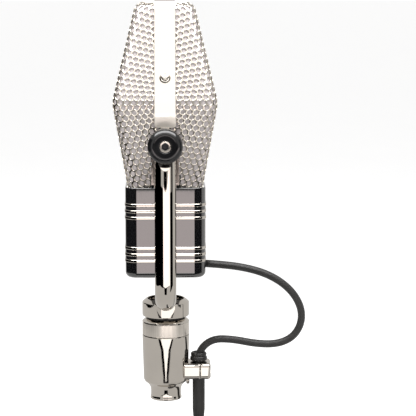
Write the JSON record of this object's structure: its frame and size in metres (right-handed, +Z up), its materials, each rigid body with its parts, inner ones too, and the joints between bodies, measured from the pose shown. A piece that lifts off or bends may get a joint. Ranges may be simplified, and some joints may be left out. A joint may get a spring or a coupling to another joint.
{
  "type": "ribbon microphone",
  "caption": "Large ribbon microphone: perforated nickel grille over a ribbed black case, tilting in a U-shaped yoke on a cushioned stand mount, with a captive cable and plug.",
  "frame": {"origin": "centre of the mouth of the stand thread, under the mount", "axes": "+Z up along the stand axis, -Y towards the front of the head, +Y towards the rear where the cable leaves, +X towards the right-hand knob"},
  "size_m": [0.159, 0.1615, 0.5543],
  "materials": {
    "polished_nickel": "mirror-polished nickel plate",
    "grille_nickel": "bright nickel plate on perforated steel",
    "black_lacquer": "high gloss",
    "black_plastic": "gloss",
    "steel": "zinc-plated",
    "magnet_steel": "ground and blackened",
    "brass": "machined",
    "foil": "corrugated foil",
    "board": "phenolic board",
    "copper_coil": "varnished winding tape",
    "liner_cloth": "fine woven cloth",
    "rubber": "moulded, satin",
    "cable_jacket": "satin jacket with a fine weave",
    "fibre_washer": "vulcanised fibre",
    "strap": "hook-and-loop tape",
    "black_screw": "black oxide"
  },
  "bodies": {
    "mount_and_yoke": {"mount_body": "polished_nickel", "mount_cap": "polished_nickel", "thread_insert": "brass", "stand_lock_screw": "black_screw", "lower_cushion": "rubber", "upper_cushion": "rubber", "neck_cushion": "rubber", "centre_stud": "steel", "stud_nut": "steel", "yoke_collar": "polished_nickel", "yoke": "polished_nickel", "yoke_bushings": "black_plastic", "clamp_jaw_inner": "polished_nickel", "clamp_jaw_outer": "polished_nickel", "clamp_screws": "steel", "cable_boot": "rubber", "cable_loop": "cable_jacket", "cable_drop": "cable_jacket", "cable_tail": "cable_jacket", "cable_coil": "cable_jacket", "coil_straps": "strap", "plug_boot": "rubber", "plug_shell": "polished_nickel", "plug_insert": "black_plastic", "plug_pins": "brass"},
    "head": {"lower_case": "black_lacquer", "deck_posts": "brass", "case_screws": "steel", "top_deck": "black_lacquer", "cable_gland": "rubber", "transformer_core": "steel", "transformer_winding": "copper_coil", "terminal_board": "board", "side_channel_right": "polished_nickel", "side_channel_left": "polished_nickel", "side_rails": "steel", "pivot_bosses": "steel", "friction_washers": "fibre_washer", "grille_front": "grille_nickel", "grille_rear": "grille_nickel", "grille_liner": "liner_cloth", "top_band": "polished_nickel", "cup_washers": "polished_nickel", "band_screws": "polished_nickel", "top_plate": "brass", "horseshoe_magnet": "magnet_steel", "pole_piece_right": "steel", "pole_piece_left": "steel", "ribbon": "foil", "ribbon_clamps": "brass", "trim_ring_1": "polished_nickel", "trim_ring_2": "polished_nickel", "trim_ring_3": "polished_nickel", "trim_ring_4": "polished_nickel", "trim_ring_5": "polished_nickel", "trim_ring_6": "polished_nickel"},
    "right_knob": {"knob_right": "black_plastic", "knob_screw_right": "steel"},
    "left_knob": {"knob_left": "black_plastic", "knob_screw_left": "steel"}
  },
  "joints": [
    {"name": "head_tilt", "type": "hinge", "parent": "mount_and_yoke", "child": "head", "pos_m": [0, 0, 0.224], "axis": [1, 0, 0], "range_deg": [-20, 35], "deforming": ["cable_loop"]},
    {"name": "right_knob_turn", "type": "hinge", "parent": "head", "child": "right_knob", "pos_m": [0.07, 0, 0.224], "axis": [1, 0, 0], "range_deg": [0, 360]},
    {"name": "left_knob_turn", "type": "hinge", "parent": "head", "child": "left_knob", "pos_m": [-0.07, 0, 0.224], "axis": [-1, 0, 0], "range_deg": [0, 360]}
  ]
}
